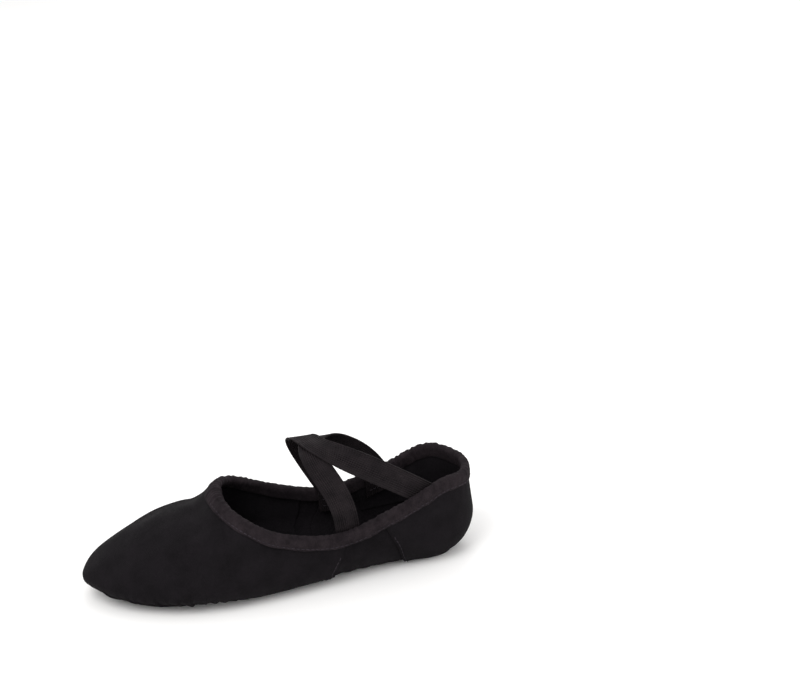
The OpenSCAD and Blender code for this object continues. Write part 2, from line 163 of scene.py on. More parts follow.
def mesh_piece(name, verts, faces, uv, material):
    """Mesh object from millimetre points, with its doubles merged. uv is in millimetres."""
    mesh = bpy.data.meshes.new(name)
    mesh.vertices.add(len(verts))
    mesh.vertices.foreach_set("co", (np.asarray(verts) / 1000).astype(np.float32).ravel())
    mesh.loops.add(faces.size)
    mesh.loops.foreach_set("vertex_index", faces.ravel().astype(np.int32))
    mesh.polygons.add(len(faces))
    starts = np.arange(len(faces), dtype=np.int32) * faces.shape[1]
    mesh.polygons.foreach_set("loop_start", starts)
    mesh.polygons.foreach_set("loop_total", np.full(len(faces), faces.shape[1], np.int32))
    layer = mesh.uv_layers.new(name="cloth_mm")
    layer.data.foreach_set("uv", np.asarray(uv)[faces.ravel()].astype(np.float32).ravel())
    mesh.update(calc_edges=True)
    mesh.validate(clean_customdata=False)
    piece = bpy.data.objects.new(name, mesh)
    bpy.context.scene.collection.objects.link(piece)
    weld = piece.modifiers.new("weld", "WELD")
    weld.merge_threshold = 2e-6
    bpy.context.view_layer.objects.active = piece
    with bpy.context.temp_override(object=piece):
        bpy.ops.object.modifier_apply(modifier="weld")
    piece.data.polygons.foreach_set("use_smooth", np.ones(len(piece.data.polygons), bool))
    piece.data.materials.append(material)
    return piece


def quads(rows, columns, start=0, flip=False, wrap=False):
    """Faces of a grid whose first point is start; wrap joins the last row to the first."""
    i, j = np.meshgrid(np.arange(rows if wrap else rows - 1), np.arange(columns - 1),
                       indexing="ij")
    k = (i + 1) % rows
    f = np.stack([i * columns + j, i * columns + j + 1, k * columns + j + 1, k * columns + j],
                 -1).reshape(-1, 4) + start
    return f[:, ::-1] if flip else f


def face_out(piece):
    """Turns a closed piece the right way round by the sign of its volume."""
    mesh = piece.data
    co = np.empty(len(mesh.vertices) * 3, np.float32)
    mesh.vertices.foreach_get("co", co)
    co = co.reshape(-1, 3).astype(float)
    mesh.calc_loop_triangles()
    t = np.empty(len(mesh.loop_triangles) * 3, np.int32)
    mesh.loop_triangles.foreach_get("vertices", t)
    a, b, c = co[t.reshape(-1, 3)].transpose(1, 0, 2)
    if (np.cross(a, b) * c).sum() < 0:
        mesh.flip_normals()
    return piece


def cloth_piece(name, outer, inner, material, zip_from=None, zip_end=False, wrap=False):
    """Sheet between two grids, closed by a strip along each border. From row zip_from on, and
    at the last row of a zipped end, the grid meets itself and needs no strip."""
    rows, columns = outer.shape[:2]
    n = rows * columns
    v = along_rows(outer)
    u = along_rows(outer.transpose(1, 0, 2)).T
    uv = np.stack([u, v - v[:, columns // 2, None]], -1).reshape(-1, 2)
    grid = np.arange(n).reshape(rows, columns)
    edge_rows = grid if zip_from is None else grid[:zip_from + 1]
    if wrap:
        edge_rows = np.concatenate([grid, grid[:1]])

    def rim(line):
        a, b = line[:-1], line[1:]
        return np.stack([a, b, b + n, a + n], -1)
    strips = [rim(edge_rows[:, 0]), rim(edge_rows[::-1, -1])]
    if not wrap:
        strips.append(rim(grid[0, ::-1]))
        if not zip_end:
            strips.append(rim(grid[-1]))
    faces = np.concatenate([quads(rows, columns, 0, False, wrap),
                            quads(rows, columns, n, True, wrap)] + strips)
    verts = np.concatenate([outer.reshape(-1, 3), inner.reshape(-1, 3)])
    return face_out(mesh_piece(name, verts, faces, np.concatenate([uv, uv]), material))


def colour(hex_value):
    """sRGB hex to linear: divide by 12.92 below 0.04045, else the 2.4 power law."""
    c = np.array([int(hex_value[i:i + 2], 16) for i in (1, 3, 5)]) / 255
    c = np.where(c <= 0.04045, c / 12.92, ((c + 0.055) / 1.055)**2.4)
    return (*c.tolist(), 1.0)


def add(material, kind, inputs=(), **settings):
    """Adds a shader node with its settings, and links or sets its inputs."""
    made = material.node_tree.nodes.new("ShaderNode" + kind)
    for key, value in settings.items():
        setattr(made, key, value)
    for socket, value in dict(inputs).items():
        if isinstance(value, bpy.types.NodeSocket):
            material.node_tree.links.new(value, made.inputs[socket])
        else:
            made.inputs[socket].default_value = value
    return made


def cloth(name, dark, light, warp_mm, weft_mm, weave_depth, roughness, sheen, mottle_mm=14,
          crumple=0.25, ribs=0.0):
    """Woven cloth: threads as crossed sine waves over the UV's millimetres, whose crests are
    painted lighter and hollows darker as painted light and shade, under a slow mottle of dye and a
    fine nap. Depths are in millimetres."""
    material = bpy.data.materials.new(name)
    material.use_nodes = True
    shader = material.node_tree.nodes["Principled BSDF"]
    uv = add(material, "UVMap", uv_map="cloth_mm").outputs["UV"]
    place = add(material, "TexCoord").outputs["Object"]
    axes = add(material, "SeparateXYZ", {"Vector": uv}).outputs

    def wave(axis, spacing):
        turns = add(material, "Math", {0: axes[axis], 1: 2 * np.pi / spacing},
                    operation="MULTIPLY").outputs[0]
        return add(material, "Math", {0: turns}, operation="SINE").outputs[0]
    weave = add(material, "Math", {0: wave(0, warp_mm), 1: wave(1, weft_mm)},
                operation="MULTIPLY").outputs[0]
    if ribs:
        weave = add(material, "Math", {0: wave(1, ribs), 1: weave},
                    operation="ADD").outputs[0]
    mottle = add(material, "TexNoise", {"Vector": place, "Scale": 1000 / mottle_mm,
                                        "Detail": 4.0, "Roughness": 0.6}).outputs["Fac"]
    nap = add(material, "TexNoise", {"Vector": place, "Scale": 1000 / 0.9, "Detail": 3.0,
                                     "Roughness": 0.7}).outputs["Fac"]
    # The weave's crests are painted lighter and its hollows darker: painted highlight and shade,
    # mixed with the dye's mottle and the nap.
    shade = add(material, "Math", {0: weave, 1: 0.12, 2: mottle},
                operation="MULTIPLY_ADD").outputs[0]
    shade = add(material, "Math", {0: nap, 1: 0.45, 2: shade},
                operation="MULTIPLY_ADD").outputs[0]
    tint = add(material, "MapRange", {"Value": shade, "From Min": 0.45, "From Max": 1.0})
    mix = add(material, "Mix", {0: tint.outputs[0], 6: colour(dark), 7: colour(light)},
              data_type="RGBA")
    fine = add(material, "Bump", {"Height": weave, "Strength": 0.7,
                                  "Distance": weave_depth / 1000}).outputs[0]
    nappy = add(material, "Bump", {"Height": nap, "Strength": 0.6, "Distance": 0.00012,
                                   "Normal": fine}).outputs[0]
    soft = add(material, "Bump", {"Height": mottle, "Strength": 0.5,
                                  "Distance": crumple / 1000, "Normal": nappy}).outputs[0]
    links = material.node_tree.links
    links.new(mix.outputs[2], shader.inputs["Base Color"])
    links.new(soft, shader.inputs["Normal"])
    shader.inputs["Roughness"].default_value = roughness
    shader.inputs["Specular IOR Level"].default_value = 0.08
    shader.inputs["Sheen Weight"].default_value = sheen
    shader.inputs["Sheen Roughness"].default_value = 0.45
    shader.inputs["Sheen Tint"].default_value = colour(light)
    return material


# Dyed cotton canvas, plain woven at 0.5 mm a thread and drawn at 1 mm so that it shows:
# matt, with a faint warm bloom of fibre ends along every turned edge.
canvas = cloth("black_stretch_canvas", "#0b090b", "#171417", 1.0, 1.1, 0.10, 0.9, 0.05)

# Length round the toe from its tip, by station, for pleats laid side by side
toe_q = np.linspace(1, 3, 400)
toe_rim = skin(toe_q, -10, 1)
toe_run = np.concatenate([[0], np.cumsum(np.linalg.norm(np.diff(toe_rim, axis=0), axis=1))])
toe_run = toe_run[-1] - toe_run
pleat_width, pleat_depth = 7.0, 2.8
lowest_fold = 0.35   # above the floor

# Directions, lengths of 17 to 46 mm and phases of the waves that the hand leaves in the cloth
drape = np.random.default_rng(7)
drape_waves = 7
drape_ways = drape.normal(size=(drape_waves, 3)) * [0.5, 0.9, 1.0]
drape_length = drape.uniform(17, 46, drape_waves)
drape_ways *= (2 * np.pi / drape_length / np.linalg.norm(drape_ways, axis=1))[:, None]
drape_phase = drape.uniform(0, 6.3, drape_waves)


def drape_relief(points, size=0.16):
    """Hand-pulled unevenness: a sum of seven slow sine waves in space."""
    return size * np.sin(points @ drape_ways.T + drape_phase).sum(-1)


def patch_reach(points, middle_x, half, front=2.1, back=2.7):
    """How far out a point lies on a patch's outline: 1 on it, less inside. The outline is a
    super-ellipse, squarer behind than in front."""
    x = points[..., 0] - shoe_shift[0]
    y = points[..., 1] - shoe_shift[1] + toe_swing * ramp(x / half_length)
    power = np.where(x > middle_x, front, back)
    return (np.abs((x - middle_x) / half[0])**power + np.abs(y / half[1])**2.2)**(1 / power)


def pleat_relief(points, q, side):
    """Pleats round the underside of the toe, numbered along the rim: each rises slowly and
    drops back sharply under the next. They fade up the side and towards the arch."""
    run = np.interp(np.abs(q), toe_q, toe_run) * side
    place = (run + 1.5 * np.sin(run / 9.1 + 0.6) + 0.9 * np.sin(run / 4.3 + 2.0)) / pleat_width
    number = np.floor(place)
    share = place - number
    strength = 0.65 + 0.35 * np.sin(number * 2.4 + 1.1)
    fold = share**1.4 * (1 - ramp((share - 0.82) / 0.18))
    low = ramp((17 - points[..., 2]) / 13)
    front = ramp((points[..., 0] - 18) / 34)
    clear = ramp((patch_reach(points, front_patch_x, front_patch_half) - 0.98) / 0.14)
    reach = ramp((14 - points[..., 2]) / 9)
    return (pleat_depth * strength * (fold - 0.3) * low * front
            - 0.9 * reach * front) * clear


hem_line = 1.7   # from a hem's edge to its row of stitches


def hem_relief(gap, width=4.2):
    """A turned and topstitched edge: raised over the hem's width and drawn in at the stitch
    line. gap is the distance from the edge."""
    return (0.45 * ramp(gap / 0.6) * (1 - ramp((gap - width) / 1.6))
            - 0.4 * np.exp(-((gap - hem_line) / 0.55)**2))


def edge_gap(points, q, side):
    """Rough distance from the opening, along the cloth: the drop below its edge, a little
    lengthened for the cloth's lean, or the way from the throat in front of it."""
    rise = np.where(np.abs(q) < throat_q, opening_z(q, side) - points[..., 2], 99)
    front = np.hypot(points[..., 0] - shoe_shift[0] - throat_x,
                     points[..., 1] - shoe_shift[1] + 3.0)
    return np.where(np.abs(q) < throat_q, np.minimum(rise * 1.15, 99), front)


def gather_relief(points, gap, size=0.28):
    """Puckers drawn up by the elastic: ridges square to the edge, as two sine waves along the
    shoe, that start under the binding and die away over about 14 mm."""
    run = points[..., 0] * 1.1
    ridge = np.sin(2 * np.pi * (run + 1.7 * np.sin(run / 6.7)) / 5.3) + 0.6 * np.sin(
        2 * np.pi * run / 8.9 + 1.0)
    return size * ridge * np.exp(-np.clip(gap - 4, 0, 99) / 6.5) * ramp((gap - 2) / 4)


vamp_columns = np.linspace(-1, 1, 211)
column_side = np.where(vamp_columns < 0, -1.0, 1.0)
column_share = np.abs(vamp_columns)**1.08
rear_rows = 1 - (1 - np.linspace(0, 1, 66))**1.7
start_q = station(curve(vamp_edge, column_share))
vamp_q = np.concatenate([
    start_q[None, :] + (throat_q - start_q)[None, :] * rear_rows[:, None],
    np.repeat(np.linspace(throat_q, 2, 13)[1:, None], len(vamp_columns), 1),
    np.repeat(np.linspace(2, 3, 96)[1:, None], len(vamp_columns), 1)])
vamp_side = np.broadcast_to(column_side, vamp_q.shape)
vamp_a = -90 + (top_angle(vamp_q, vamp_side) + 90) * column_share[None, :]


def folded(grid, zip_from):
    """Makes the two halves of a grid meet exactly where they should: at the last row, and at
    the first and last columns from zip_from on."""
    grid[-1] = (grid[-1] + grid[-1, ::-1]) / 2
    crest = (grid[zip_from:, 0] + grid[zip_from:, -1]) / 2
    grid[zip_from:, 0] = grid[zip_from:, -1] = crest
    return grid


vamp_points = skin(vamp_q, vamp_a, vamp_side)
vamp_zip = len(rear_rows) - 1
vamp_normals = outward(vamp_points)
vamp_normals[-1] = vamp_normals[-2]
rear_gap = (vamp_q - start_q[None, :]) * middle_length
vamp_gap = edge_gap(vamp_points, vamp_q, vamp_side)
vamp_floor = ramp((vamp_points[..., 2] - 1.6) / 4)
vamp_relief = (drape_relief(vamp_points) * vamp_floor * ramp(vamp_gap / 9)
               + pleat_relief(vamp_points, vamp_q, vamp_side)
               + hem_relief(rear_gap) * vamp_floor
               + gather_relief(vamp_points, vamp_gap) * vamp_floor)
vamp_outer = folded(vamp_points + vamp_normals * vamp_relief[..., None], vamp_zip)
vamp_outer[..., 2] = np.maximum(vamp_outer[..., 2], lowest_fold)
vamp_inner = folded(vamp_outer - vamp_normals * canvas_thick, vamp_zip)
vamp_piece = cloth_piece("vamp_canvas", vamp_outer, vamp_inner, canvas, zip_from=vamp_zip,
                         zip_end=True)
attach(vamp_piece, "forefoot")
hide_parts("vamp")


# ---- Vamp lining ------------------------------------------------------------------------
# Thin black cotton behind the canvas from the toe back to the arch seam, caught in the
# binding at the throat. It is a loose copy of the vamp, one layer further in.

# Dyed cotton, plain woven at 0.4 mm a thread and drawn at 0.8 mm so that it shows: matt, and
# a shade lighter than the canvas.
cotton = cloth("black_cotton_lining", "#0d0b0d", "#1b181b", 0.8, 0.8, 0.06, 0.9, 0.05)
cotton_thick, lining_depth = 0.4, 1.15
seam_rows = 10   # rows of the vamp's grid that the lining stops short of the arch seam
lining_zip = vamp_zip - seam_rows
lining_faces = [
    folded(skin(vamp_q, vamp_a, vamp_side, depth)[seam_rows:, ::2], lining_zip)
    for depth in (lining_depth, lining_depth + cotton_thick)]
lining_piece = cloth_piece("vamp_cotton_lining", *lining_faces, cotton, zip_from=lining_zip,
                           zip_end=True)
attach(lining_piece, "forefoot")
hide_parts("vamp_lining")


# ---- Arch panel and inner quarter -------------------------------------------------------
# One piece of the same canvas: round the heel from the back seam, along the inner side and
# across under the arch, where it stretches as the foot points. The vamp laps 6 mm over it.

quarter_edge = [(0, heel_x), (0.25, -75), (0.5, -70.5), (0.75, -68), (0.88, -65.4),
                (1, -60.5)]
lap, panel_depth, panel_thick = 6.0, 1.0, 0.8
panel_over_back = -0.08   # station past the back seam, under the outer quarter
panel_columns = np.linspace(-1, 1, 181)
panel_side = np.where(panel_columns < 0, -1.0, 1.0)
panel_share = np.abs(panel_columns)**1.08
panel_back = np.where((panel_side > 0) & (panel_share > 0),
                      station(curve(quarter_edge, panel_share) - lap), panel_over_back)
panel_start = np.maximum(1, panel_back)
panel_front = station(curve(vamp_edge, panel_share) + lap - 0.3)
heel_steps, arch_steps = np.linspace(0, 1, 46)[:, None], np.linspace(0, 1, 96)[1:, None]
panel_q = np.concatenate([panel_back + (panel_start - panel_back) * heel_steps,
                          panel_start + (panel_front - panel_start) * arch_steps])
panel_sides = np.broadcast_to(panel_side, panel_q.shape)
panel_a = -90 + (top_angle(panel_q, panel_sides) + 90) * panel_share[None, :]


def wrinkle_relief(points, size=0.3):
    """Slack across the arch: long shallow waves that lean with the pull of the foot."""
    x, y, z = np.moveaxis(points, -1, 0)
    wave = np.sin((x + 0.35 * z + 2.2 * np.sin(y / 9)) * 2 * np.pi / 9.5)
    near = np.exp(-((x + 34) / 26)**2) * ramp((34 - z) / 16)
    return size * wave * near


panel_points = skin(panel_q, panel_a, panel_sides, panel_depth)
panel_normals = outward(panel_points)
panel_gap = edge_gap(panel_points, panel_q, panel_sides)
panel_free = ramp((panel_points[..., 2] - 2.4) / 4)
under_vamp = ramp((station(curve(vamp_edge, panel_share)) - panel_q) * middle_length / 3)
panel_relief = (np.minimum(0, drape_relief(panel_points, 0.12)) * panel_free
                * ramp(panel_gap / 9)
                + (wrinkle_relief(panel_points) - 0.15) * under_vamp
                + gather_relief(panel_points, panel_gap, 0.2) * panel_free * under_vamp)
panel_outer = panel_points + panel_normals * panel_relief[..., None]
panel_inner = panel_outer - panel_normals * panel_thick
panel_piece = cloth_piece("arch_and_inner_quarter_canvas", panel_outer, panel_inner, canvas)
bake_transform(panel_piece)
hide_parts("arch_panel")


# ---- Outer quarter ----------------------------------------------------------------------
# The outer half of the heel, cut from the same canvas. Its front edge is folded under and
# lapped over the arch panel, and its back edge closes the seam behind the heel.

quarter_over_back = 0.055   # station past the back seam
heel_station_run = 55.0     # length round the heel of one station
quarter_thick = canvas_thick - 0.05
quarter_share = np.linspace(0, 1, 91)**1.08
quarter_front = station(curve(quarter_edge, quarter_share))
quarter_reach = quarter_front + quarter_over_back
quarter_q = -quarter_over_back + quarter_reach * np.linspace(0, 1, 81)[:, None]
quarter_a = -90 + (top_angle(quarter_q, 1) + 90) * quarter_share[None, :]
quarter_points = skin(quarter_q, quarter_a, 1)
quarter_normals = outward(quarter_points)
quarter_gap = edge_gap(quarter_points, quarter_q, 1)
quarter_free = ramp((quarter_points[..., 2] - 1.6) / 4)
quarter_relief = (drape_relief(quarter_points, 0.1) * quarter_free * ramp(quarter_gap / 9)
                  + hem_relief((quarter_front - quarter_q) * middle_length, 3.2)
                  * quarter_free
                  + hem_relief((quarter_q + quarter_over_back) * heel_station_run, 3.2)
                  * quarter_free
                  + gather_relief(quarter_points, quarter_gap, 0.2) * quarter_free)
quarter_outer = quarter_points + quarter_normals * quarter_relief[..., None]
quarter_inner = quarter_points - quarter_normals * quarter_thick
quarter_piece = cloth_piece("outer_quarter_canvas", quarter_outer, quarter_inner, canvas)
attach(quarter_piece, "heel")
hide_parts("lateral_quarter")


# ---- Heel lining and back seam tape -----------------------------------------------------
# A band of cotton round the inside of the heel, and a short tape over the back seam's
# allowance, both stitched in below the binding.


def band(reach, low, drop, depth, rows=121, columns=41):
    """Grid round the heel from station -reach to reach, and from the angle low up to drop
    below the opening."""
    q = np.linspace(-reach, reach, rows)[:, None]
    top = angle_at(q, opening_z(q, 1) - drop)
    return skin(q, low + (top - low) * np.linspace(0, 1, columns)[None, :], 1, depth)


for name, node, reach, low, drop, depth in (
        ("heel_cotton_lining", "heel_lining", 1.22, -14, 5.5, 2.1),
        ("back_seam_cotton_tape", "back_seam_tape", 0.13, -10, 6.5, 2.7)):
    band_faces = [band(reach, low, drop, d) for d in (depth, depth + cotton_thick)]
    band_piece = cloth_piece(name, *band_faces, cotton)
    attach(band_piece, "heel")
    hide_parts(node)


# ---- Binding ----------------------------------------------------------------------------
# A 6 mm tape folded over the raw edge of the opening and topstitched, with a drawn cord of
# elastic inside that gathers it into soft puckers. Its ends lap at the throat.

# Dyed cotton tape, plain woven at 0.5 mm a thread and drawn at about twice that: the fold along
# the top takes a dull light, so the opening reads as a paler line.
tape = cloth("folded_binding_tape", "#130f12", "#2a2427", 0.9, 1.3, 0.10, 0.88, 0.1,
             mottle_mm=6, crumple=0.3)
half_q = np.concatenate([np.linspace(0, 1, 121)[:-1],
                         1 + (throat_q - 1) * (1 - (1 - np.linspace(0, 1, 600))**2)])
outer_edge = skin(half_q, top_angle(half_q, 1), 1)
inner_edge = skin(half_q, top_angle(half_q, -1), -1)
closed = np.concatenate([outer_edge, inner_edge[-2:0:-1], outer_edge[:1]])
loop_run = np.concatenate([[0], np.cumsum(np.linalg.norm(np.diff(closed, axis=0), axis=1))])
edge_length = loop_run[-1]
throat_run = loop_run[len(half_q) - 1]
edge_n = 720
edge_run = (throat_run + np.arange(edge_n) / edge_n * edge_length) % edge_length
signed_q = np.concatenate([half_q, 2 * throat_q - half_q[-2:0:-1], [2 * throat_q]])
edge_signed = np.interp(edge_run, loop_run, signed_q)
edge_side = np.where(edge_signed <= throat_q, 1.0, -1.0)
edge_q = np.where(edge_side > 0, edge_signed, 2 * throat_q - edge_signed)
edge_q = np.clip(edge_q, 0, throat_q)
edge_a = top_angle(edge_q, edge_side)
edge_points = skin(edge_q, edge_a, edge_side)
edge_ahead = np.roll(edge_points, -1, 0) - np.roll(edge_points, 1, 0)
edge_ahead /= np.linalg.norm(edge_ahead, axis=1, keepdims=True)
by_q = (skin(edge_q + 0.01, edge_a, edge_side) - skin(edge_q - 0.01, edge_a, edge_side)) / 0.02
by_a = edge_points - skin(edge_q, edge_a - 1, edge_side)
edge_out = np.cross(by_q, by_a)
edge_out /= np.linalg.norm(edge_out, axis=1, keepdims=True)
facing = (edge_out * (skin(edge_q, edge_a, edge_side, -1) - edge_points)).sum(1)
edge_out *= np.where(facing > 0, 1, -1)[:, None]
for _ in range(6):
    edge_out = (np.roll(edge_out, 1, 0) + 2 * edge_out + np.roll(edge_out, -1, 0)) / 4
    edge_out /= np.linalg.norm(edge_out, axis=1, keepdims=True)
edge_down = np.cross(edge_out, edge_ahead)
edge_down /= np.linalg.norm(edge_down, axis=1, keepdims=True)
if edge_down[edge_n // 2, 2] > 0:
    edge_down *= -1
qq, qa, aa = (by_q * by_q).sum(1), (by_q * by_a).sum(1), (by_a * by_a).sum(1)
determinant = qq * aa - qa * qa


def beside_edge(out, down):
    """Points beside the opening's edge: out of the cloth, and down along its curve by solving
    the skin's two slopes for that step. A negative down stands above the edge."""
    step = np.maximum(0, down)[..., None] * edge_down[:, None]
    dq, da = (by_q[:, None] * step).sum(-1), (by_a[:, None] * step).sum(-1)
    q = edge_q[:, None] + (aa[:, None] * dq - qa[:, None] * da) / determinant[:, None]
    a = edge_a[:, None] + (qq[:, None] * da - qa[:, None] * dq) / determinant[:, None]
    on_cloth = skin(q, np.minimum(90, a), edge_side[:, None])
    return (on_cloth + out[..., None] * edge_out[:, None]
            + np.minimum(0, down)[..., None] * edge_down[:, None])


from_throat = np.minimum(np.arange(edge_n), edge_n - np.arange(edge_n)) * edge_length / edge_n
signed_run = np.where(np.arange(edge_n) < edge_n / 2, from_throat, -from_throat)

# Puckers of the gathered tape as three sine waves along it, and the lap of its two ends
pucker = (0.55 * np.sin(2 * np.pi * (signed_run + 1.6 * np.sin(signed_run / 7.7)) / 4.4)
          + 0.3 * np.sin(2 * np.pi * signed_run / 2.9 + 1.9 * np.sin(signed_run / 11))
          + 0.35 * np.sin(2 * np.pi * signed_run / 9.7 + 0.4))
pucker *= 0.75 + 0.35 * np.sin(signed_run / 21 + 1)
ends_lap = (0.9 * ramp((signed_run + 5.5) / 0.8) * (1 - ramp((signed_run - 4) / 4))
            + 0.5 * np.exp(-((signed_run + 6.5) / 1.6)**2))
# Section of the tape from its outer hem over the fold to its inner hem: out of the cloth, and
# down from the edge
tape_thick = 0.45
tape_profile = np.array([
    (0.35, 6.1), (0.75, 6.35), (1.05, 5.9), (1.15, 5.0), (1.3, 4.0), (1.55, 3.0),
    (1.8, 2.0), (1.95, 1.0), (1.95, 0.0), (1.75, -0.9), (1.25, -1.7), (0.5, -2.3),
    (-0.4, -2.6), (-1.3, -2.7), (-2.2, -2.5), (-2.9, -1.9), (-3.35, -1.0), (-3.5, 0.2),
    (-3.45, 2.0), (-3.35, 4.0), (-3.2, 5.8), (-2.85, 6.0)])
profile_n = 64
fine_share = np.linspace(0, len(tape_profile) - 1, profile_n)
coarse = np.arange(len(tape_profile))
tape_fine = np.stack([np.interp(fine_share, coarse, tape_profile[:, k]) for k in (0, 1)], 1)
for _ in range(3):
    tape_fine[1:-1] = (tape_fine[:-2] + 2 * tape_fine[1:-1] + tape_fine[2:]) / 4
tape_way = np.gradient(tape_fine, axis=0)
tape_way = np.stack([-tape_way[:, 1], tape_way[:, 0]], 1)
tape_way /= np.linalg.norm(tape_way, axis=1)[:, None]
if (tape_way[20] * (tape_fine[20] - [-1, 3])).sum() < 0:
    tape_way *= -1
puff = np.interp(np.arange(profile_n), [0, 6, 20, 34, 48, 63],
                 [0.15, 0.5, 1.0, 1.0, 0.6, 0.15])
swell = 0.42 * pucker[:, None] * puff + ends_lap[:, None] * np.clip(puff * 1.3, 0, 1)
wave_down = 0.25 * np.sin(signed_run / 3.1)[:, None] * (tape_fine[:, 1] > 3)
outer_tape = beside_edge(tape_fine[:, 0] + tape_way[:, 0] * swell,
                         tape_fine[:, 1] + tape_way[:, 1] * swell + wave_down)
all_round = np.ones((edge_n, 1))
inside = tape_fine - tape_way * tape_thick
inner_tape = beside_edge(inside[:, 0] * all_round, inside[:, 1] * all_round)
binding_piece = cloth_piece("opening_binding", outer_tape, inner_tape, tape, wrap=True)
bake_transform(binding_piece)
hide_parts("binding")


# ---- Stitching --------------------------------------------------------------------------
# Bonded black thread, 0.5 mm thick, in lockstitch 3 mm long. Each stitch is a short bent
# round that dives into the cloth at both ends.

# Polyester, twisted and waxed: a faint gleam on every stitch, paler than the cloth.
thread = cloth("bonded_sewing_thread", "#1a171a", "#39343a", 0.7, 5.0, 0.05, 0.6, 0.1)


def stitches(name, path, out, node, pitch=3.0, thickness=0.5, closed=False):
    """One mesh of stitches along a path of points with outward directions. A stitch is a tube
    of six sides whose middle line rises as the square root of a half sine."""
    if closed:
        path, out = np.concatenate([path, path[:1]]), np.concatenate([out, out[:1]])
    run = np.concatenate([[0], np.cumsum(np.linalg.norm(np.diff(path, axis=0), axis=1))])
    count = max(2, int(run[-1] / pitch))
    pitch = run[-1] / count
    t = np.linspace(0, 1, 7)
    at = (np.arange(count)[:, None] + 0.08 + 0.84 * t[None, :]) * pitch
    centre = np.stack([np.interp(at, run, path[:, k]) for k in range(3)], -1)
    up = np.stack([np.interp(at, run, out[:, k]) for k in range(3)], -1)
    up /= np.linalg.norm(up, axis=2, keepdims=True)
    ahead = np.gradient(centre, axis=1)
    ahead /= np.linalg.norm(ahead, axis=2, keepdims=True)
    across = np.cross(ahead, up)
    centre = centre + up * (thickness * (np.sqrt(np.sin(np.pi * t)) - 0.75))[None, :, None]
    turn = np.arange(6) / 6 * 2 * np.pi
    radius = thickness / 2 * np.array([0.5, 0.9, 1, 1, 1, 0.9, 0.5])
    ring = (across[:, :, None] * np.cos(turn)[:, None] + up[:, :, None] * np.sin(turn)[:, None])
    verts = centre[:, :, None] + ring * radius[None, :, None, None]
    i, j = np.meshgrid(np.arange(6), np.arange(6), indexing="ij")
    k = (j + 1) % 6
    tube = np.stack([i * 6 + j, i * 6 + k, (i + 1) * 6 + k, (i + 1) * 6 + j], -1).reshape(-1, 4)
    caps = np.array([[0, 5, 4, 3], [0, 3, 2, 1], [36, 37, 38, 39], [36, 39, 40, 41]])
    faces = (np.concatenate([tube, caps])[None] + np.arange(count)[:, None, None] * 42)
    uv = np.stack(np.broadcast_arrays(at[:, :, None], turn[None, None] * thickness / 2), -1)
    piece = mesh_piece(name, verts.reshape(-1, 3), faces.reshape(-1, 4), uv.reshape(-1, 2),
                       thread)
    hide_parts(node)
    return piece


binding_line = beside_edge(1.2 * all_round, 5.0 * all_round)[:, 0]
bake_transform(stitches("binding_stitches", binding_line, edge_out, "binding_thread", closed=True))


# Seam stitches run on the upper layer at the hem's line, where the hem is drawn in.
seam_share = np.linspace(0.03, 0.9, 160)
for sign, ending in ((1, "outer"), (-1, "inner")):
    line_q = station(curve(vamp_edge, seam_share) + hem_line)
    line_a = -90 + (top_angle(line_q, sign) + 90) * seam_share
    line = skin(line_q, line_a, sign, -0.15)
    outwards = skin(line_q, line_a, sign, -1.0) - line
    piece = stitches("arch_seam_stitches_" + ending, line, outwards, "arch_seam_thread")
    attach(piece, "forefoot")

side_share = np.linspace(0.34, 0.9, 120)
side_q = station(curve(quarter_edge, side_share) - hem_line)
side_a = -90 + (top_angle(side_q, 1) + 90) * side_share
side_line = skin(side_q, side_a, 1, -0.15)
piece = stitches("side_seam_stitches", side_line, skin(side_q, side_a, 1, -1) - side_line,
                 "side_seam_thread")
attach(piece, "heel")

back_share = np.linspace(0.36, 0.88, 120)
back_seam_q = 0.024   # station of the seam's stitches, on the inner side
back_q = np.full(len(back_share), -back_seam_q)
back_a = -90 + (top_angle(back_seam_q, 1) + 90) * back_share
back_line = skin(back_q, back_a, 1, -0.15)
piece = stitches("back_seam_stitches", back_line, skin(back_q, back_a, 1, -1) - back_line,
                 "back_seam_thread")
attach(piece, "heel")


# ---- Straps -----------------------------------------------------------------------------
# Two bands of 15 mm ribbed elastic that cross over the instep. Rubber threads run inside
# the ribs, and the ends go down inside the opening and are tacked behind the binding.

# Braided elastic, spun polyester over rubber, its yarns 0.9 mm apart and its ribs 1.36 mm: the
# ribs' tops catch a little more light than the cloth does.
elastic = cloth("ribbed_strap_elastic", "#0f0c0e", "#231e20", 0.9, 1.36, 0.09, 0.7, 0.08,
                mottle_mm=9, crumple=0.1, ribs=1.36)
strap_depth, strap_width, strap_thick = 4.45, 15.0, 0.9
strap_tuck = 9.0   # degrees of the tunnel that an end runs on, down inside the opening
strap_gap = 2.6    # that a strap's middle stands above the opening where it springs
strap_crest, strap_cross_x, tunnel_base, tunnel_power = 82.0, -26.0, 31.0, 2.7
# Outer root, inner root, how late the strap bows forward, and how far it stands off the foot
strap_lines = {"strap_under": (-39.0, -70.0, 1.5, 0.0),
               "strap_over": (-108.0, -39.0, 0.85, 1.5)}


def tunnel(x, phi, out):
    """The foot under the straps, as a tunnel on the inside of the opening. At each x it is
    a super-ellipse: phi is 0 on the outer side, 90 on the crest and 180 on the inner side."""
    q = station(x)

    def half(side):
        return np.abs(skin(q, top_angle(q, side), side, strap_depth)[..., 1] - shoe_shift[1])
    inner = ramp((phi - 60) / 60)
    across = half(1) * (1 - inner) + half(-1) * inner + out
    s, c = np.maximum(0, np.sin(np.radians(phi))), np.cos(np.radians(phi))
    rise = strap_crest + out * s - tunnel_base
    return np.stack([x + shoe_shift[0],
                     np.sign(c) * across * np.abs(c)**(2 / tunnel_power) + shoe_shift[1],
                     tunnel_base + rise * s**(2 / tunnel_power)], -1)


